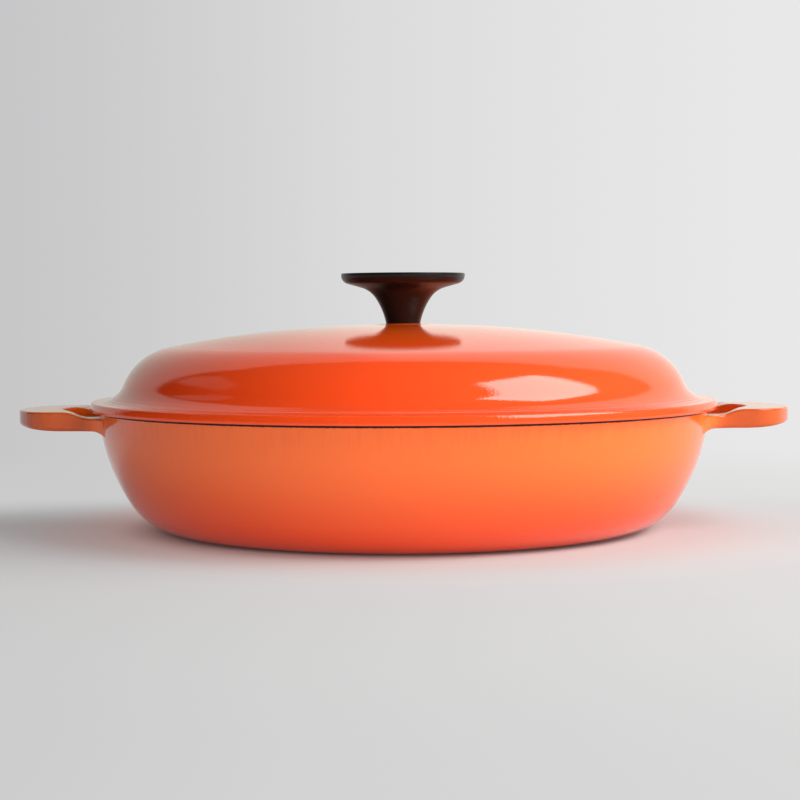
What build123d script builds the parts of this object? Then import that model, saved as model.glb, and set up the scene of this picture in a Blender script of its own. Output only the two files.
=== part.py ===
from build123d import *
from math import acos, asin, atan2, cos, degrees, radians, sin, sqrt, tan
import os

# A cast iron braiser: a low round pot with two loop handles, a domed lid and a screwed-on knob.
# Millimetres, +Z up, origin on the table under the pot's centre, handles along X.

# Pot
rim_radius = 149.0
rim_height = 59.0
rim_lean = 3.1
side_radius = 90.8
heel_radius = 29.6
wall_thickness = 4.2
base_thickness = 4.8
inner_heel_radius = 25.0
rim_edge_radius = 0.8
foot_ring_width = 7.0
foot_recess_depth = 0.7
foot_edge_radius = 0.5

# Loop handles, cast with the pot
handle_reach = 40.0
handle_half_width = 35.0
handle_tip_radius = 52.0
handle_corner_radius = 16.0
handle_flare_radius = 22.5
handle_thickness = 9.2
handle_sweep_length = 27.0
handle_sweep_radius = 150.0
handle_sweep_angle = 5.5
handle_cove_radius = 6.0
handle_top_edge_radius = 0.9
handle_bottom_edge_radius = 2.0
handle_root_sink = 0.4
handle_root_depth = 14.0
bar_width = 20.0
finger_hole_half_width = 20.0
finger_hole_end_radius = 23.0
finger_hole_corner_radius = 8.0

# Trough in the handle arms, which clears the lid's flange all round
trough_depth = 3.0
trough_step_radius = 16.0

# Lid
flange_overhang = 4.3
flange_thickness = 4.2
flange_land = 4.25
flange_top_edge_radius = 1.3
flange_bottom_edge_radius = 0.5
lid_thickness = 3.6
lid_play = 1.4
lip_width = 4.2
lip_depth = 4.6
lip_edge_radius = 1.1
lip_root_radius = 0.6
lid_foot_radius = 12.83
flank_slope = 66.3
flank_length = 1.14
shoulder_radius = 29.8
crown_radius = 554.0
crown_start_slope = 1.0
seat_radius = 9.6
seat_blend_radius = 25.0
seat_blend_angle = 9.5

# Knob, a trumpet that flares from its stem to a rounded edge
stem_radius = 8.44
stem_angle = 11.1
stem_curve_radius = 34.2
throat_angle = 33.8
throat_radius = 12.67
flare_angle = 74.1
flare_length = 7.05
knob_edge_radius = 4.22
knob_edge_angle = 88.0
knob_top_edge_radius = 0.5
knob_border = 4.5
knob_dish_depth = 0.8

# Knob hardware: an M6 screw with its washer, and the brass insert that it holds in
screw_radius = 3.0
thread_clearance = 0.05
lid_hole_clearance = 0.4
screw_engagement = 9.0
screw_tip_chamfer = 0.6
head_radius = 5.6
head_height = 3.3
head_edge_radius = 1.8
slot_width = 1.6
slot_depth = 1.5
washer_radius = 6.0
washer_thickness = 1.6
washer_edge_radius = 0.25
insert_radius = 4.75
insert_length = 12.0
insert_cap = 1.6
insert_band = 3.6
insert_groove_depth = 0.6
insert_recess = 0.2
insert_mouth_chamfer = 0.4

# Overrun of every cut past the faces that it opens
overrun = 2.0

# Largest vertical share of a face's normal that still counts as upright
upright_tolerance = 0.01


def bowl_handover(low_level, side_arc, heel_arc):
    """Angle from the vertical at which the bowl's side arc hands over to its heel arc."""
    lean = radians(rim_lean)
    return asin((rim_height - low_level + side_arc * sin(lean) - heel_arc) / (side_arc - heel_arc))


def bowl_flat_radius(top_radius, low_level, side_arc, heel_arc):
    """Radius of the flat that the heel leaves at the bowl's bottom."""
    handover = bowl_handover(low_level, side_arc, heel_arc)
    return top_radius - side_arc * (cos(radians(rim_lean)) - cos(handover)) - heel_arc * cos(handover)


def bowl_outline(top_radius, low_level, side_arc, heel_arc):
    """Draws the flat, the heel and the side of a bowl up to the rim, and returns the rim's point."""
    handover = degrees(bowl_handover(low_level, side_arc, heel_arc))
    flat = Line((0, low_level), (bowl_flat_radius(top_radius, low_level, side_arc, heel_arc), low_level))
    heel = JernArc(flat @ 1, (1, 0), heel_arc, 90 - handover)
    side = JernArc(heel @ 1, heel % 1, side_arc, handover - rim_lean)
    return side @ 1


def ball_radius_at_side(ball_radius, level):
    """How far from the axis a ball on that level lies when it touches the pot's side from outside."""
    side_centre_radius = rim_radius - side_radius * cos(radians(rim_lean))
    return side_centre_radius + sqrt((side_radius + ball_radius) ** 2 - (side_centre_level - level) ** 2)


def loop_outline(reach, half_width, end_radius, corner_radius, flare_radius):
    """Draws a plan outline on +X: a crowned end, two corners, sides that run or flare into the wall."""
    end_angle = degrees(asin((half_width - corner_radius) / (end_radius - corner_radius)))
    end = JernArc((reach, 0), (0, 1), end_radius, end_angle)
    corner = JernArc(end @ 1, end % 1, corner_radius, 90 - end_angle)
    if flare_radius > 0:
        # The flare's arc touches the circle that the roots end on
        flare_start = sqrt((root_radius + flare_radius) ** 2 - (half_width + flare_radius) ** 2)
        side = Line(corner @ 1, (flare_start, half_width))
        flare_turn = degrees(atan2(flare_start, half_width + flare_radius))
        last = JernArc(side @ 1, side % 1, flare_radius, -flare_turn)
    else:
        last = corner
    Polyline(last @ 1, (root_end, (last @ 1).Y), (root_end, 0))
    mirror(about=Plane.XZ)


# Places that follow from the sizes above
side_centre_level = rim_height + side_radius * sin(radians(rim_lean))
handle_tip = rim_radius + handle_reach
handle_bottom = rim_height - handle_thickness
cove_level = handle_bottom - handle_cove_radius
cove_centre = ball_radius_at_side(handle_cove_radius, cove_level) - handle_root_sink
cove_end_turn = asin((side_centre_level - cove_level) / (side_radius + handle_cove_radius))
cove_end_level = cove_level + handle_cove_radius * sin(cove_end_turn)
root_radius = cove_centre - handle_cove_radius
root_end = root_radius - handle_root_depth
flange_radius = rim_radius + flange_overhang
flange_top = rim_height + flange_thickness
trough_level = rim_height - trough_depth
trough_step_angle = degrees(acos(1 - trough_depth / (2 * trough_step_radius)))
inner_rim_radius = rim_radius - wall_thickness
lip_radius = inner_rim_radius - lid_play
lip_bottom = rim_height - lip_depth
lid_foot_reach = flange_radius - flange_land

# The crown falls to the slope at which shoulder, flank and foot just reach the flange
blend_turn = radians(seat_blend_angle)
start_turn = radians(crown_start_slope)
flank_turn = radians(flank_slope)
blend_reach = seat_blend_radius * (2 * sin(blend_turn) - sin(start_turn))
side_reach = (shoulder_radius + lid_foot_radius) * sin(flank_turn) + flank_length * cos(flank_turn)
crown_reach = lid_foot_reach - seat_radius - blend_reach - side_reach
crown_end = asin((crown_reach + crown_radius * sin(start_turn)) / (crown_radius - shoulder_radius))
crown_end_slope = degrees(crown_end)

# Levels up the lid, from the flange to the seat that the knob stands on
foot_rise = lid_foot_radius * (1 - cos(flank_turn))
flank_rise = flank_length * sin(flank_turn)
shoulder_rise = shoulder_radius * (cos(crown_end) - cos(flank_turn))
crown_rise = crown_radius * (cos(start_turn) - cos(crown_end))
blend_rise = seat_blend_radius * (1 + cos(start_turn) - 2 * cos(blend_turn))
crown_start_level = flange_top + foot_rise + flank_rise + shoulder_rise + crown_rise
seat_level = crown_start_level + blend_rise
crown_centre_reach = seat_radius + blend_reach - crown_radius * sin(start_turn)
underside_level = crown_start_level + crown_radius * (1 - cos(start_turn)) - lid_thickness
lid_hole_radius = screw_radius + lid_hole_clearance
washer_level = underside_level - washer_thickness
insert_level = seat_level + insert_recess
foot_ring_radius = bowl_flat_radius(rim_radius, 0, side_radius, heel_radius)


with BuildPart() as handle:
    with BuildSketch(Plane.XY.offset(cove_level)):
        with BuildLine():
            loop_outline(
                handle_tip,
                handle_half_width,
                handle_tip_radius,
                handle_corner_radius,
                handle_flare_radius,
            )
        make_face()
        with BuildLine():
            loop_outline(
                handle_tip - bar_width,
                finger_hole_half_width,
                finger_hole_end_radius,
                finger_hole_corner_radius,
                0,
            )
        make_face(mode=Mode.SUBTRACT)
    extrude(amount=handle_cove_radius + handle_thickness)
    # The underside climbs gently towards the tip
    with BuildSketch(Plane.XZ):
        with BuildLine():
            climb_start = handle_tip - handle_sweep_length
            bend = JernArc((climb_start, handle_bottom), (1, 0), handle_sweep_radius, handle_sweep_angle)
            run = handle_tip + overrun - (bend @ 1).X
            climb = Line(bend @ 1, bend @ 1 + Vector(run, run * tan(radians(handle_sweep_angle))))
            Polyline(
                climb @ 1,
                (handle_tip + overrun, rim_height),
                (root_end, rim_height),
                (root_end, cove_level),
                (climb_start, cove_level),
                bend @ 0,
            )
        make_face()
    extrude(amount=handle_half_width + handle_flare_radius, both=True, mode=Mode.INTERSECT)
    # The underside runs into the wall through a cove that follows the pot's curve
    with BuildSketch(Plane.XZ):
        with BuildLine():
            cove = JernArc((cove_centre, handle_bottom), (-1, 0), handle_cove_radius, 90)
            Polyline(
                cove @ 1,
                (root_radius, cove_level - overrun),
                (handle_tip, cove_level - overrun),
                (handle_tip, handle_bottom),
                cove @ 0,
            )
        make_face()
    revolve(axis=Axis.Z, mode=Mode.SUBTRACT)
    # The arms dip under the lid's flange and climb to the bar beyond it
    with BuildSketch(Plane.XZ):
        with BuildLine():
            trough = Line((root_end, trough_level), (flange_radius, trough_level))
            foot = JernArc(trough @ 1, (1, 0), trough_step_radius, trough_step_angle)
            brow = JernArc(foot @ 1, foot % 1, trough_step_radius, -trough_step_angle)
            Polyline(
                brow @ 1,
                ((brow @ 1).X, rim_height + overrun),
                (root_end, rim_height + overrun),
                trough @ 0,
            )
        make_face()
    revolve(axis=Axis.Z, mode=Mode.SUBTRACT)

    # The loop's outline is rounded all round, outside and in the finger hole, more below than above
    middle = (trough_level + handle_bottom) / 2
    for below, edge_radius in ((True, handle_bottom_edge_radius), (False, handle_top_edge_radius)):
        for reach in (handle_tip, handle_tip - bar_width):
            ends = handle.edges().filter_by(lambda e: (e.center().Z < middle) == below)
            ends = ends.filter_by(lambda e: abs(e.center().Y) < upright_tolerance)
            seed = ends.sort_by(lambda e: abs(e.center().X - reach))[0]
            fillet(seed, radius=edge_radius)
    # Where the cove meets the wall its root stops, inside the iron
    with BuildSketch(Plane.XY.offset(cove_level)):
        with Locations((root_radius, 0)):
            Rectangle(2 * handle_root_depth, 4 * handle_half_width)
    extrude(amount=cove_end_level - cove_level, mode=Mode.SUBTRACT)


with BuildPart() as pot:
    with BuildSketch(Plane.XZ):
        with BuildLine():
            rim = bowl_outline(rim_radius, 0, side_radius, heel_radius)
            Polyline(rim, (0, rim_height), (0, 0))
        make_face()
    revolve(axis=Axis.Z)
    add(handle.part)
    mirror(handle.part, about=Plane.YZ)
    # The cavity follows the outside at the wall's thickness
    with BuildSketch(Plane.XZ):
        with BuildLine():
            inner_rim = bowl_outline(
                inner_rim_radius, base_thickness, side_radius - wall_thickness, inner_heel_radius
            )
            Polyline(
                inner_rim,
                (inner_rim_radius, rim_height + overrun),
                (0, rim_height + overrun),
                (0, base_thickness),
            )
        make_face()
    revolve(axis=Axis.Z, mode=Mode.SUBTRACT)
    # The bottom stands on a ring round a shallow recess
    with BuildSketch(Plane.XY):
        Circle(foot_ring_radius - foot_ring_width)
    extrude(amount=foot_recess_depth, mode=Mode.SUBTRACT)
    ring_edges = pot.edges().filter_by(GeomType.CIRCLE).group_by(Axis.Z)[0]
    fillet(ring_edges.sort_by(Edge.length)[0], radius=foot_edge_radius)
    rim_edges = pot.edges().filter_by(GeomType.CIRCLE).group_by(Axis.Z)[-1]
    fillet(rim_edges, radius=rim_edge_radius)
pot.part.label = "pot"


with BuildPart() as lid:
    with BuildSketch(Plane.XZ):
        with BuildLine():
            # The outside, from the knob's seat down to the flange
            seat = Line((0, seat_level), (seat_radius, seat_level))
            seat_edge = JernArc(seat @ 1, (1, 0), seat_blend_radius, -seat_blend_angle)
            seat_foot = JernArc(
                seat_edge @ 1, seat_edge % 1, seat_blend_radius, seat_blend_angle - crown_start_slope
            )
            crown_turn = crown_end_slope - crown_start_slope
            crown = JernArc(seat_foot @ 1, seat_foot % 1, crown_radius, -crown_turn)
            shoulder = JernArc(crown @ 1, crown % 1, shoulder_radius, crown_end_slope - flank_slope)
            flank = Line(shoulder @ 1, shoulder @ 1 + shoulder % 1 * flank_length)
            lid_foot = JernArc(flank @ 1, flank % 1, lid_foot_radius, flank_slope)
            # The underside, from the screw's washer out to the lip
            lip_inner_radius = lip_radius - lip_width
            inner_foot_radius = lid_foot_radius + lid_thickness
            lip_slope = degrees(asin((lid_foot_reach - lip_inner_radius) / inner_foot_radius))
            inner_seat = Line((0, underside_level), (crown_centre_reach, underside_level))
            inner_crown = JernArc(inner_seat @ 1, (1, 0), crown_radius - lid_thickness, -crown_end_slope)
            inner_shoulder = JernArc(
                inner_crown @ 1,
                inner_crown % 1,
                shoulder_radius - lid_thickness,
                crown_end_slope - flank_slope,
            )
            inner_flank = Line(inner_shoulder @ 1, inner_shoulder @ 1 + inner_shoulder % 1 * flank_length)
            inner_foot_turn = flank_slope - lip_slope
            inner_foot = JernArc(inner_flank @ 1, inner_flank % 1, inner_foot_radius, inner_foot_turn)
            # The flange that rests on the rim, and the lip that keeps the lid centred in it
            FilletPolyline(
                lid_foot @ 1,
                (flange_radius, flange_top),
                (flange_radius, rim_height),
                (lip_radius, rim_height),
                (lip_radius, lip_bottom),
                (lip_inner_radius, lip_bottom),
                inner_foot @ 1,
                radius=(
                    flange_top_edge_radius,
                    flange_bottom_edge_radius,
                    lip_root_radius,
                    lip_edge_radius,
                    lip_edge_radius,
                ),
            )
            Line(inner_seat @ 0, seat @ 0)
        make_face()
    revolve(axis=Axis.Z)
    with Locations((0, 0, seat_level)):
        Hole(lid_hole_radius)
lid.part.label = "lid"


def insert_outline():
    """Draws half the section of the insert's outside: two bands with a groove between them."""
    groove_radius = insert_radius - insert_groove_depth
    insert_top = insert_level + insert_length
    Polyline(
        (0, insert_level),
        (insert_radius, insert_level),
        (insert_radius, insert_level + insert_band),
        (groove_radius, insert_level + insert_band),
        (groove_radius, insert_top - insert_band),
        (insert_radius, insert_top - insert_band),
        (insert_radius, insert_top),
        (0, insert_top),
        close=True,
    )


with BuildPart() as knob:
    with BuildSketch(Plane.XZ):
        with BuildLine():
            base = Line((0, seat_level), (stem_radius, seat_level))
            stem_start = (sin(radians(stem_angle)), cos(radians(stem_angle)))
            stem = JernArc(base @ 1, stem_start, stem_curve_radius, stem_angle - throat_angle)
            throat = JernArc(stem @ 1, stem % 1, throat_radius, throat_angle - flare_angle)
            flare = Line(throat @ 1, throat @ 1 + throat % 1 * flare_length)
            edge = JernArc(flare @ 1, flare % 1, knob_edge_radius, knob_edge_angle)
            knob_top = (edge @ 1).Y
            Polyline(edge @ 1, (0, knob_top), base @ 0)
        make_face()
    revolve(axis=Axis.Z)
    top_edge = knob.edges().filter_by(GeomType.CIRCLE).group_by(Axis.Z)[-1]
    fillet(top_edge, radius=knob_top_edge_radius)
    # The top is a shallow dish inside a flat border
    with BuildSketch(Plane.XZ):
        with BuildLine():
            dish_radius = (edge @ 1).X - knob_border
            dish_arc_radius = (dish_radius**2 + knob_dish_depth**2) / (2 * knob_dish_depth)
            dish_turn = degrees(asin(dish_radius / dish_arc_radius))
            dish = JernArc((0, knob_top - knob_dish_depth), (1, 0), dish_arc_radius, dish_turn)
            Polyline(dish @ 1, (dish_radius, knob_top + overrun), (0, knob_top + overrun), dish @ 0)
        make_face()
    revolve(axis=Axis.Z, mode=Mode.SUBTRACT)
    # The plastic is moulded round the insert, and opens below it
    with BuildSketch(Plane.XZ):
        with BuildLine():
            insert_outline()
        make_face()
    revolve(axis=Axis.Z, mode=Mode.SUBTRACT)
    with BuildSketch(Plane.XY.offset(seat_level)):
        Circle(insert_radius)
    extrude(amount=insert_recess, mode=Mode.SUBTRACT)
knob.part.label = "knob"


with BuildPart() as knob_insert:
    with BuildSketch(Plane.XZ):
        with BuildLine():
            insert_outline()
        make_face()
    revolve(axis=Axis.Z)
    with BuildSketch(Plane.XY.offset(insert_level)):
        Circle(screw_radius + thread_clearance)
    extrude(amount=insert_length - insert_cap, mode=Mode.SUBTRACT)
    mouth = knob_insert.edges().filter_by(GeomType.CIRCLE).group_by(Axis.Z)[0].sort_by(Edge.length)[0]
    chamfer(mouth, length=insert_mouth_chamfer)
knob_insert.part.label = "knob_insert"


with BuildPart() as knob_screw:
    with BuildSketch(Plane.XY.offset(washer_level)):
        Circle(screw_radius)
    extrude(amount=seat_level + screw_engagement - washer_level)
    chamfer(knob_screw.edges().filter_by(GeomType.CIRCLE).group_by(Axis.Z)[-1], length=screw_tip_chamfer)
    with BuildSketch(Plane.XY.offset(washer_level)):
        Circle(head_radius)
    extrude(amount=-head_height)
    fillet(knob_screw.edges().filter_by(GeomType.CIRCLE).group_by(Axis.Z)[0], radius=head_edge_radius)
    with BuildSketch(Plane.XY.offset(washer_level - head_height)):
        Rectangle(2 * (head_radius + overrun), slot_width)
    extrude(amount=slot_depth, mode=Mode.SUBTRACT)
knob_screw.part.label = "knob_screw"


with BuildPart() as knob_washer:
    with BuildSketch(Plane.XY.offset(washer_level)):
        Circle(washer_radius)
        Circle(lid_hole_radius, mode=Mode.SUBTRACT)
    extrude(amount=washer_thickness)
    fillet(knob_washer.edges().sort_by(Edge.length)[-2:], radius=washer_edge_radius)
knob_washer.part.label = "knob_washer"


os.makedirs("parts", exist_ok=True)
for piece in (pot, lid, knob, knob_insert, knob_screw, knob_washer):
    export_step(piece.part, f"parts/{piece.part.label}.step")
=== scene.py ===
import bpy
from math import asin, atan2, cos, degrees, pi, radians, sin
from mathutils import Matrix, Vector


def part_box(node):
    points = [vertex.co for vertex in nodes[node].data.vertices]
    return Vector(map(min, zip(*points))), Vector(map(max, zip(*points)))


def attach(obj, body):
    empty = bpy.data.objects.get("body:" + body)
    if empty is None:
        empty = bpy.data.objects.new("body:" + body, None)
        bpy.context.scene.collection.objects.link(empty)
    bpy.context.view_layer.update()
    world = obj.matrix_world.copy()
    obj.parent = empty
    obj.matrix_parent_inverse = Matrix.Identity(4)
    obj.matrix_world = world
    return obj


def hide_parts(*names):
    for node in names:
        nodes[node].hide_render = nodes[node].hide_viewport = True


# The looks of an enamelled cast iron braiser with a domed lid and a black knob, in metres.

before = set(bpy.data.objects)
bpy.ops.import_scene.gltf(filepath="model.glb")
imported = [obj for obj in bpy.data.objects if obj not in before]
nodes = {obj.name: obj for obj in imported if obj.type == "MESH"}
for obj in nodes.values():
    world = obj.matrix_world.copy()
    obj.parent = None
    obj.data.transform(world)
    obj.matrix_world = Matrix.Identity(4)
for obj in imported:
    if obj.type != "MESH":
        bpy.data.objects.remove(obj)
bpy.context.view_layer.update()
MM = 0.001

# Levels and radii that the frame gives
lid_low, lid_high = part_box("lid")
knob_low, knob_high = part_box("knob")
flange_radius = lid_high.x
seat_level = knob_low.z

# The lid's section, from the knob's seat out to the flange
seat_radius = 9.6 * MM
seat_blend_radius = 25 * MM
seat_blend_angle = 9.5
crown_radius = 554 * MM
crown_start_slope = 1.0
shoulder_radius = 29.8 * MM
flank_slope = 66.3
flank_length = 1.14 * MM
lid_foot_radius = 12.83 * MM
lid_thickness = 3.6 * MM
flange_land = 4.25 * MM
flange_top_edge = 0.9 * MM
flange_top_edge_angle = 60
flange_face_radius = 5.5 * MM
flange_bottom_edge = 0.5 * MM
lip_radius = 143.4 * MM
lip_width = 4.2 * MM
lip_edge = 1.1 * MM
lip_root = 0.6 * MM
lid_hole_radius = 3.4 * MM
rim_level = 59 * MM

# The shallow rings on the lid's foot, counted inwards from the flange's edge
ridge_pitch = 2.2 * MM
ridge_height = 0.065 * MM
ridge_reach = 13 * MM
ridge_fade = 3 * MM

# How finely round stretches are cut, in degrees along a section and in steps around the axis
section_step = 1.5
crown_step = 0.6
flange_edge_step = 6
flange_face_step = 3
small_edge_step = 15
round_steps = 400


def colour(red, green, blue):
    return (red, green, blue, 1.0)


# Colours of the castings
pot_orange_low = colour(0.80, 0.055, 0.006)
pot_orange_high = colour(0.93, 0.142, 0.018)
pot_orange_streak = colour(0.80, 0.085, 0.008)
pot_orange_rim = colour(0.95, 0.12, 0.0)
# The handles' orange is darker than the pot's own: painted shade, since the handles lie in shade beside
# the pot
shaded_handle_orange = colour(0.55, 0.080, 0.006)
lid_orange_middle = colour(0.92, 0.100, 0.004)
lid_orange_outer = colour(0.90, 0.070, 0.010)
sand = colour(0.72, 0.60, 0.42)
bare_iron = colour(0.012, 0.010, 0.009)

# Colours of the knob and its hardware
knob_black_dark = colour(0.004, 0.0036, 0.0036)
knob_black_light = colour(0.007, 0.0064, 0.006)
brass_dark = colour(0.55, 0.36, 0.13)
brass_light = colour(0.78, 0.57, 0.26)
steel_dark = colour(0.48, 0.48, 0.47)
steel_light = colour(0.66, 0.66, 0.65)

# The enamel: soft dimples, a finer peel, and waves near the rim and on the edge of the lid
dimple_size = 2.4 * MM
dimple_depth = 0.014 * MM
dimple_roughness = 0.35
peel_size = 0.8 * MM
peel_depth = 0.030 * MM
wave_radius = 150 * MM
pot_wave_size = 1.9 * MM
pot_wave_depth = 0.12 * MM
pot_wave_stretch = 0.12
lid_wave_size = 1.7 * MM
lid_wave_depth = 0.15 * MM
lid_wave_stretch = 0.2
ragged_size = 0.9 * MM
enamel_roughness = 0.06
iron_roughness = 0.6
enamel_ior = 1.6

# The stage: a floor, a wall behind, a card at the left, and how far each reaches
floor_side = 6.0
wall_place = 1.7
wall_side = 3.2
wall_height = 4.5
card_place = -0.9
card_outline = ((-0.17, 0.60), (0.36, 0.56), (0.36, 0.75), (0.20, 0.96), (-0.17, 0.83))
room_grey = colour(0.20, 0.20, 0.20)
black = colour(0.0, 0.0, 0.0)

# The camera
camera_place = (0.0, -0.95, 0.1094)
camera_fall = 2.835
camera_roll = 0.30
camera_turn = 0.0923
lens_length = 86.56
sensor_width = 36.0


class Value:
    """An output socket of a finish, which Python's operators join up through Math nodes."""

    def __init__(self, finish, socket):
        self.finish = finish
        self.socket = socket

    def math(self, operation, *values):
        return self.finish.node("ShaderNodeMath", {"operation": operation}, dict(enumerate(values)))

    def __add__(self, other):
        return self.math("ADD", self, other)

    __radd__ = __add__

    def __sub__(self, other):
        return self.math("SUBTRACT", self, other)

    def __rsub__(self, other):
        return self.math("SUBTRACT", other, self)

    def __mul__(self, other):
        return self.math("MULTIPLY", self, other)

    __rmul__ = __mul__

    def __truediv__(self, other):
        return self.math("DIVIDE", self, other)

    def __rtruediv__(self, other):
        return self.math("DIVIDE", other, self)

    def __pow__(self, other):
        return self.math("POWER", self, other)

    def angle_with(self, other):
        return self.math("ARCTAN2", self, other)

    def larger(self, other):
        return self.math("MAXIMUM", self, other)

    def rise(self, low, high):
        """0 below low, 1 above high and a smooth climb between; the other way round if low > high."""
        settings = {"interpolation_type": "SMOOTHSTEP"}
        return self.finish.node("ShaderNodeMapRange", settings, {0: self, 1: low, 2: high})


class Finish:
    """A material or a world under construction."""

    def __init__(self, owner, kind):
        owner.use_nodes = True
        self.owner = owner
        self.tree = owner.node_tree
        self.tree.nodes.clear()
        self.last = self.tree.nodes.new(kind)

    def node(self, kind, settings=None, inputs=None, output=0):
        made = self.tree.nodes.new(kind)
        for name, value in (settings or {}).items():
            if name == "stops":
                self.set_stops(made.color_ramp, value)
            else:
                setattr(made, name, value)
        for name, value in (inputs or {}).items():
            self.feed(made.inputs[name], value)
        return Value(self, made.outputs[output])

    def set_stops(self, ramp, stops):
        for place, tone in stops[2:]:
            ramp.elements.new(place)
        for element, (place, tone) in zip(ramp.elements, stops):
            element.position = place
            element.color = tone

    def feed(self, socket, value):
        if isinstance(value, Value):
            self.tree.links.new(value.socket, socket)
        else:
            socket.default_value = value

    def end(self, shader):
        """Sets the shader that the surface shows, and gives back the finished material or world."""
        self.feed(self.last.inputs["Surface"], shader)
        return self.owner

    def place(self):
        """The point's x, y and z in the row frame."""
        return self.split(self.node("ShaderNodeTexCoord", output="Object"))

    def facing(self):
        """The x, y and z of the direction that the surface faces."""
        return self.split(self.node("ShaderNodeNewGeometry", output="Normal"))

    def split(self, vector):
        return [self.node("ShaderNodeSeparateXYZ", None, {0: vector}, output=axis) for axis in "XYZ"]

    def point(self, x, y, z):
        return self.node("ShaderNodeCombineXYZ", None, {0: x, 1: y, 2: z})

    def blend(self, share, first, second):
        settings = {"data_type": "RGBA"}
        return self.node("ShaderNodeMix", settings, {0: share, 6: first, 7: second}, output=2)

    def scaled(self, tone, level):
        return self.node("ShaderNodeVectorMath", {"operation": "SCALE"}, {0: tone, 3: level})

    def noise(self, point, size, detail=2.0, roughness=0.5):
        """Soft noise between 0 and 1 whose grains are about size wide."""
        inputs = {"Vector": point, "Scale": 1 / size, "Detail": detail, "Roughness": roughness}
        return self.node("ShaderNodeTexNoise", None, inputs)

    def bump(self, height, depth, below=None):
        """A normal tilted by a height of 0 to 1 that is depth deep."""
        inputs = {"Height": height, "Distance": depth, "Strength": 1.0}
        if below is not None:
            inputs["Normal"] = below
        return self.node("ShaderNodeBump", None, inputs)

    def glow(self, tone):
        return self.node("ShaderNodeEmission", None, {"Color": tone, "Strength": 1.0})

    def mix(self, share, first, second):
        return self.node("ShaderNodeMixShader", None, {0: share, 1: first, 2: second})


def material(name):
    return Finish(bpy.data.materials.new(name), "ShaderNodeOutputMaterial")


def from_axis(x, y):
    """Distance from the pot's axis."""
    return (x * x + y * y) ** 0.5


def side_waves(f, x, y, z, size, stretch):
    """Noise that runs round the pot's side and is drawn out in height."""
    arc = y.angle_with(x) * wave_radius
    return f.noise(f.point(arc, z * stretch, 0.0), size, 1.0)


def enamel_shader(f, point, skin, iron, waves, wave_depth):
    """Glossy enamel with waves under its dimples and peel, and dull where the iron is bare."""
    normal = f.bump(waves, wave_depth)
    normal = f.bump(f.noise(point, dimple_size, 2.0, dimple_roughness), dimple_depth, normal)
    normal = f.bump(f.noise(point, peel_size), peel_depth, normal)
    return f.node("ShaderNodeBsdfPrincipled", None, {
        "Base Color": skin,
        "Roughness": enamel_roughness + iron * iron_roughness,
        "IOR": enamel_ior,
        "Normal": normal,
    })


def pot_enamel():
    """Orange enamel outside, darkened on the handles as painted shade, sand-coloured inside, and bare
    black iron on the rim between them.
    """
    f = material("pot_enamel")
    x, y, z = f.place()
    radius = from_axis(x, y)
    point = f.point(x, y, z)
    waves = side_waves(f, x, y, z, pot_wave_size, pot_wave_stretch)
    ragged = f.noise(point, ragged_size, 3.0)

    # Where each part of the casting is
    facing_x, facing_y, facing_z = f.facing()
    outward = (facing_x * x + facing_y * y) / radius.larger(1 * MM)
    inner_wall = outward.rise(0.05, -0.05)
    bottom = facing_z.rise(0.5, 0.6) * radius.rise(140 * MM, 139 * MM)
    inside = inner_wall.larger(bottom) * radius.rise(149 * MM, 148.5 * MM)
    near_rim = z.rise(40 * MM, 58 * MM)
    on_wall = radius.rise(150.5 * MM, 149.5 * MM)
    on_handles = radius.rise(150 * MM, 158 * MM)
    rim_edge = (z + ragged * (0.5 * MM)).rise(57.3 * MM, 58.0 * MM) * on_wall
    iron = (z + ragged * (0.6 * MM)).rise(58.1 * MM, 58.3 * MM) * on_wall
    streaks = waves.rise(0.42, 0.68) * near_rim * 0.22

    skin = f.blend(z.rise(0.0, 46 * MM), pot_orange_low, pot_orange_high)
    skin = f.blend(streaks, skin, pot_orange_streak)
    skin = f.blend(rim_edge, skin, pot_orange_rim)
    # Painted shade: the handles get a darker orange than the pot
    skin = f.blend(on_handles, skin, shaded_handle_orange)
    skin = f.blend(inside, skin, sand)
    skin = f.blend(iron, skin, bare_iron)
    return f.end(enamel_shader(f, point, skin, iron, waves * near_rim, pot_wave_depth))


def lid_enamel():
    """Orange enamel that deepens towards the flange, sand-coloured underneath."""
    f = material("lid_enamel")
    x, y, z = f.place()
    radius = from_axis(x, y)
    point = f.point(x, y, z)
    waves = side_waves(f, x, y, z, lid_wave_size, lid_wave_stretch)

    # Where each part of the casting is
    facing_z = f.facing()[2]
    underside = facing_z.rise(-0.1, -0.3) * radius.rise(152.5 * MM, 152 * MM)
    lip = radius.rise(144.5 * MM, 144 * MM) * z.rise(61 * MM, 60 * MM)
    iron = z.rise(59.06 * MM, 59.03 * MM)
    flange_edge = radius.rise(150 * MM, 152 * MM)

    skin = f.blend(radius.rise(40 * MM, 135 * MM), lid_orange_middle, lid_orange_outer)
    skin = f.blend(underside.larger(lip), skin, sand)
    skin = f.blend(iron, skin, bare_iron)
    return f.end(enamel_shader(f, point, skin, iron, waves * flange_edge, lid_wave_depth))


def knob_plastic():
    """Satin black moulded plastic with a fine grain."""
    f = material("knob_plastic")
    point = f.point(*f.place())
    grain = f.noise(point, 0.35 * MM)
    tone = f.noise(point, 6 * MM)
    return f.end(f.node("ShaderNodeBsdfPrincipled", None, {
        "Base Color": f.blend(tone, knob_black_dark, knob_black_light),
        "Roughness": 0.30 + tone * 0.06,
        "IOR": 1.4,
        "Normal": f.bump(grain, 0.004 * MM),
    }))


def turned_metal(name, dark, light, roughness):
    """Metal with fine rings from the lathe."""
    f = material(name)
    x, y, z = f.place()
    rings = f.noise(f.point(from_axis(x, y), z, 0.0), 0.12 * MM)
    stains = f.noise(f.point(x, y, z), 2.5 * MM, 3.0)
    return f.end(f.node("ShaderNodeBsdfPrincipled", None, {
        "Base Color": f.blend(stains, dark, light),
        "Metallic": 1.0,
        "Roughness": roughness + rings * 0.12,
        "Normal": f.bump(rings, 0.006 * MM),
    }))


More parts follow.
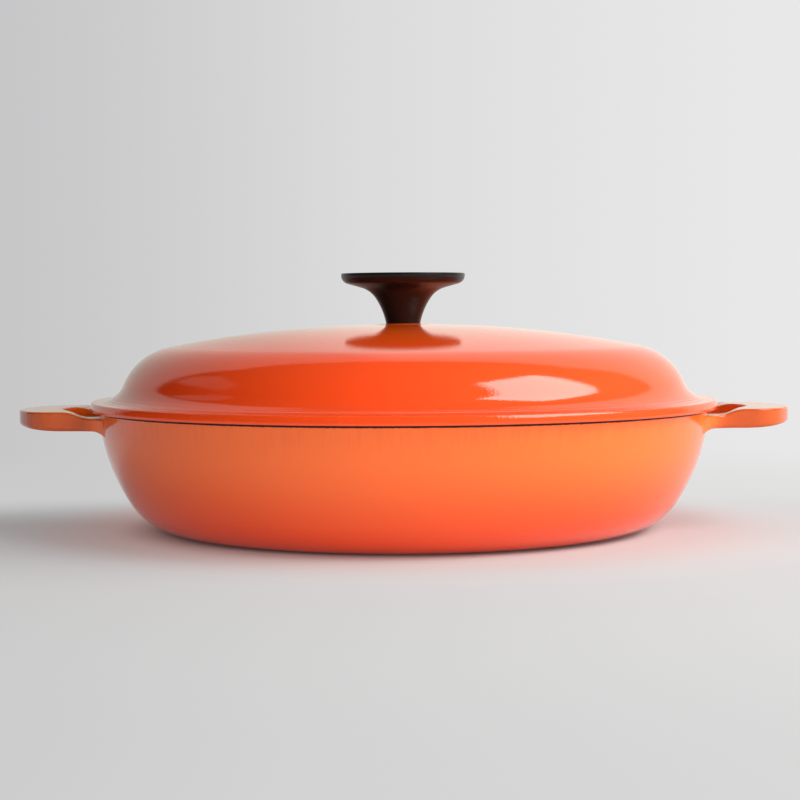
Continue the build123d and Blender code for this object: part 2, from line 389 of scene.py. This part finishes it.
class Section:
    """Half a section as points of radius and level, drawn by lines and arcs from where the last ends."""

    def __init__(self, radius, level, slope=0.0):
        self.points = [(radius, level)]
        self.slope = slope

    def line(self, length):
        """Goes straight on."""
        radius, level = self.points[-1]
        turn = radians(self.slope)
        self.points.append((radius + length * cos(turn), level - length * sin(turn)))

    def to(self, radius, level):
        """Goes straight to a point, and on from there in the same direction."""
        before_radius, before_level = self.points[-1]
        self.slope = degrees(atan2(before_level - level, radius - before_radius))
        self.points.append((radius, level))

    def arc(self, bend_radius, turn, step=section_step):
        """Turns downwards by turn degrees, or upwards where it is negative."""
        steps = max(2, round(abs(turn) / step))
        radius, level = self.points[-1]
        side = 1 if turn > 0 else -1
        start = radians(self.slope)
        centre_radius = radius - side * bend_radius * sin(start)
        centre_level = level - side * bend_radius * cos(start)
        for index in range(1, steps + 1):
            angle = start + radians(turn) * index / steps
            self.points.append((
                centre_radius + side * bend_radius * sin(angle),
                centre_level + side * bend_radius * cos(angle),
            ))
        self.slope += turn


def add_piece(name, points, faces):
    mesh = bpy.data.meshes.new(name)
    mesh.from_pydata(points, [], faces)
    piece = bpy.data.objects.new(name, mesh)
    bpy.context.scene.collection.objects.link(piece)
    return piece


def wear(piece, finish):
    piece.data.materials.clear()
    piece.data.materials.append(finish)


def turned(name, outline):
    """A piece turned around the axis from a closed outline of radius and level."""
    points = []
    for index in range(round_steps):
        angle = 2 * pi * index / round_steps
        points += [(r * cos(angle), r * sin(angle), level) for r, level in outline]
    count = len(outline)
    faces = []
    for index in range(round_steps):
        here = index * count
        there = (index + 1) % round_steps * count
        for row in range(count):
            below = (row + 1) % count
            faces.append((here + row, here + below, there + below, there + row))
    piece = add_piece(name, points, faces)
    piece.data.shade_smooth()
    return piece


def ridged(radius, level):
    """A point of the foot, raised or lowered by the shallow rings that run round above the flange."""
    inward = flange_radius - radius
    share = max(0.0, min(1.0, (ridge_reach - inward) / ridge_fade))
    return radius, level + share * ridge_height * sin(2 * pi * inward / ridge_pitch)


def underside_level():
    """Level of the flat under the knob's seat."""
    blend_turn = radians(seat_blend_angle)
    start_turn = radians(crown_start_slope)
    drop = seat_blend_radius * (1 + cos(start_turn) - 2 * cos(blend_turn))
    return seat_level - drop + crown_radius * (1 - cos(start_turn)) - lid_thickness


def lid_outline():
    """The lid's section: out over the crown, round the flange and back along the underside."""
    flank_turn = radians(flank_slope)
    blend_turn = radians(seat_blend_angle)
    start_turn = radians(crown_start_slope)
    blend_reach = seat_blend_radius * (2 * sin(blend_turn) - sin(start_turn))
    side_reach = (shoulder_radius + lid_foot_radius) * sin(flank_turn) + flank_length * cos(flank_turn)
    crown_reach = flange_radius - flange_land - seat_radius - blend_reach - side_reach
    crown_end = asin((crown_reach + crown_radius * sin(start_turn)) / (crown_radius - shoulder_radius))
    crown_end_slope = degrees(crown_end)

    # Over the crown and down to the flange
    outer = Section(lid_hole_radius, seat_level)
    outer.to(seat_radius, seat_level)
    outer.arc(seat_blend_radius, seat_blend_angle)
    outer.arc(seat_blend_radius, crown_start_slope - seat_blend_angle)
    outer.arc(crown_radius, crown_end_slope - crown_start_slope, crown_step)
    outer.arc(shoulder_radius, flank_slope - crown_end_slope)
    outer.line(flank_length)
    foot_start = len(outer.points)
    outer.arc(lid_foot_radius, -flank_slope)
    for index in range(foot_start, len(outer.points) - 1):
        outer.points[index] = ridged(*outer.points[index])

    # Round the flange's bulging edge and the lip below it
    edge_turn = radians(flange_top_edge_angle)
    edge_reach = flange_top_edge * sin(edge_turn) + flange_face_radius * (1 - sin(edge_turn))
    outer.line(flange_land - edge_reach)
    outer.arc(flange_top_edge, flange_top_edge_angle, flange_edge_step)
    outer.arc(flange_face_radius, 90 - flange_top_edge_angle, flange_face_step)
    outer.to(flange_radius, rim_level + flange_bottom_edge)
    outer.arc(flange_bottom_edge, 90, small_edge_step)
    outer.to(lip_radius + lip_root, rim_level)
    outer.arc(lip_root, -90, small_edge_step)
    outer.to(lip_radius, lid_low.z + lip_edge)
    outer.arc(lip_edge, 90, small_edge_step)
    outer.to(lip_radius - lip_width + lip_edge, lid_low.z)
    outer.arc(lip_edge, 90, small_edge_step)

    # The underside runs at the lid's thickness below the crown, and meets the lip
    foot_radius = lid_foot_radius + lid_thickness
    meeting = asin((flange_radius - flange_land - lip_radius + lip_width) / foot_radius)
    inner = Section(lid_hole_radius, underside_level())
    inner.to(seat_radius + blend_reach - crown_radius * sin(start_turn), underside_level())
    inner.slope = 0.0
    inner.arc(crown_radius - lid_thickness, crown_end_slope, crown_step)
    inner.arc(shoulder_radius - lid_thickness, flank_slope - crown_end_slope)
    inner.line(flank_length)
    inner.arc(foot_radius, degrees(meeting) - flank_slope)
    return outer.points + inner.points[::-1]


lid = turned("lid_enamelled", lid_outline())
wear(lid, lid_enamel())
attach(lid, "lid")
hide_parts("lid")

wear(nodes["pot"], pot_enamel())
wear(nodes["knob"], knob_plastic())
wear(nodes["knob_insert"], turned_metal("insert_brass", brass_dark, brass_light, 0.22))
steel = turned_metal("screw_steel", steel_dark, steel_light, 0.2)
wear(nodes["knob_screw"], steel)
wear(nodes["knob_washer"], steel)


def backdrop_tone(f, across):
    """The pale backdrop's grey, with painted light that makes it rise from left to right, towards the
    lamps.
    """
    stops = (
        (0.0, colour(0.55, 0.55, 0.56)),
        (0.5, colour(0.71, 0.71, 0.71)),
        (1.0, colour(0.82, 0.81, 0.81)),
    )
    return f.node("ShaderNodeValToRGB", {"stops": stops}, {0: across.rise(-0.28, 0.24)})


def world_light():
    """A plain grey room, lighter to the right, and behind it the pale backdrop that the camera sees."""
    world = bpy.data.worlds.new("room")
    bpy.context.scene.world = world
    f = Finish(world, "ShaderNodeOutputWorld")
    direction = f.node("ShaderNodeTexCoord", output="Generated")
    across = f.node("ShaderNodeSeparateXYZ", None, {0: direction}, output="X")
    room = f.blend(across.rise(-1.0, 1.0), black, room_grey)
    seen = f.node("ShaderNodeLightPath", output="Is Camera Ray")
    tone = f.blend(seen, room, backdrop_tone(f, across))
    f.end(f.node("ShaderNodeBackground", None, {"Color": tone, "Strength": 1.0}))


def floor_finish():
    """A floor that takes the shadow near the pot, with painted contact shade round its foot and a
    painted glow that lightens the shadow, and glows in the backdrop's tone far off.
    """
    f = material("floor")
    x, y, z = f.place()
    reach = from_axis(x, y)
    # Painted contact shade: the floor darkens to a brownish ring round the pot's foot
    painted_contact_shade = reach.rise(0.124, 0.109)
    ground = f.blend(painted_contact_shade, colour(0.60, 0.595, 0.59), colour(0.20, 0.13, 0.12))
    lit = f.node("ShaderNodeBsdfDiffuse", None, {"Color": ground})

    # A painted glow that lightens the near floor's shadow, more behind the pot and not at its foot:
    # paler to the right, brighter in front, a little darker behind, and a painted orange bounce by the
    # pot
    painted_glow_tone = f.blend(x.rise(-0.2, 0.2), colour(0.63, 0.63, 0.63), colour(0.79, 0.785, 0.78))
    painted_glow_tone = f.blend(reach.rise(0.20, 0.13), painted_glow_tone, colour(0.68, 0.51, 0.49))
    painted_glow_level = 1.0 + y.rise(-0.02, -0.12) * 0.12 - y.rise(0.0, 0.12) * 0.05
    painted_glow_share = (y.rise(0.0, 0.16) * 0.58 + 0.42) * reach.rise(0.106, 0.145)
    near = f.mix(painted_glow_share, lit, f.glow(f.scaled(painted_glow_tone, painted_glow_level)))

    # The far floor goes on in the backdrop's tone, with painted shade that makes it a little darker in
    # front
    across = x / (reach.larger(0.1) + 0.95)
    front_fade = 1.0 - y.rise(-0.2, -0.5) * reach.rise(3.0, 1.0) * 0.09
    far = f.glow(f.scaled(backdrop_tone(f, across), front_fade))
    return f.end(f.mix(reach.rise(0.20, 0.60), near, far))


def wall_finish():
    """The pale wall that the lid mirrors, soft at its sides and top."""
    f = material("wall")
    x, y, z = f.place()
    tone = f.blend(x.rise(0.02, -0.3), colour(0.97, 0.96, 0.87), colour(0.64, 0.63, 0.57))
    side = (x * x) ** 0.5
    covered = side.rise(2.9, 2.7) * z.rise(4.3, 4.1)
    return f.end(f.mix(covered, f.node("ShaderNodeBsdfTransparent"), f.glow(tone)))


def card_finish():
    """The dull glow of the pale card that stands off at the left."""
    f = material("left_card")
    x, y, z = f.place()
    tone = f.blend(y.rise(-0.1, 0.3), colour(0.26, 0.26, 0.26), colour(0.35, 0.35, 0.35))
    return f.end(f.glow(tone))


def sheet(name, corners, finish):
    piece = add_piece(name, corners, [tuple(range(len(corners)))])
    wear(piece, finish)
    return piece


def show_in_mirrors_only(piece):
    piece.visible_camera = False
    piece.visible_diffuse = False


def lamp(name, place, aim, width, height, radiance):
    """A flat lamp, whose power is its radiance times pi and its area."""
    light = bpy.data.lights.new(name, "AREA")
    light.shape = "RECTANGLE"
    light.size = width
    light.size_y = height
    light.energy = radiance * pi * width * height
    holder = bpy.data.objects.new(name, light)
    bpy.context.scene.collection.objects.link(holder)
    holder.location = place
    holder.rotation_euler = (Vector(place) - Vector(aim)).to_track_quat("Z", "Y").to_euler()
    return holder


def set_stage():
    world_light()
    floor_corners = [
        (-floor_side, -floor_side, 0),
        (floor_side, -floor_side, 0),
        (floor_side, floor_side, 0),
        (-floor_side, floor_side, 0),
    ]
    sheet("floor", floor_corners, floor_finish())
    wall_corners = [
        (-wall_side, wall_place, 0),
        (wall_side, wall_place, 0),
        (wall_side, wall_place, wall_height),
        (-wall_side, wall_place, wall_height),
    ]
    show_in_mirrors_only(sheet("wall", wall_corners, wall_finish()))
    card_corners = [(card_place, y, z) for y, z in card_outline]
    show_in_mirrors_only(sheet("left_card", card_corners, card_finish()))

    # Only the window shows in reflections
    lamp("window", (0.90, -0.475, 1.15), (-0.04, -0.095, 1.15), 0.86, 1.04, 6.3)
    side = lamp("side_light", (1.9, 0.0, 0.95), (0.0, 0.0, 0.05), 1.6, 1.2, 6.8)
    front = lamp("front_light", (1.45, -1.55, 0.22), (0.0, 0.0, 0.04), 1.4, 0.4, 12.0)
    fill = lamp("fill_light", (-0.05, -2.1, 0.22), (0.0, 0.0, 0.04), 1.4, 0.4, 8.2)
    for soft_lamp in (side, front, fill):
        soft_lamp.visible_glossy = False


def set_camera():
    lens = bpy.data.cameras.new("camera")
    lens.lens = lens_length
    lens.sensor_width = sensor_width
    camera = bpy.data.objects.new("camera", lens)
    bpy.context.scene.collection.objects.link(camera)
    camera.location = camera_place
    camera.rotation_euler = (radians(90 - camera_fall), radians(camera_roll), radians(camera_turn))
    bpy.context.scene.camera = camera


set_stage()
set_camera()
bpy.context.scene.view_settings.view_transform = "Standard"

bpy.context.view_layer.update()
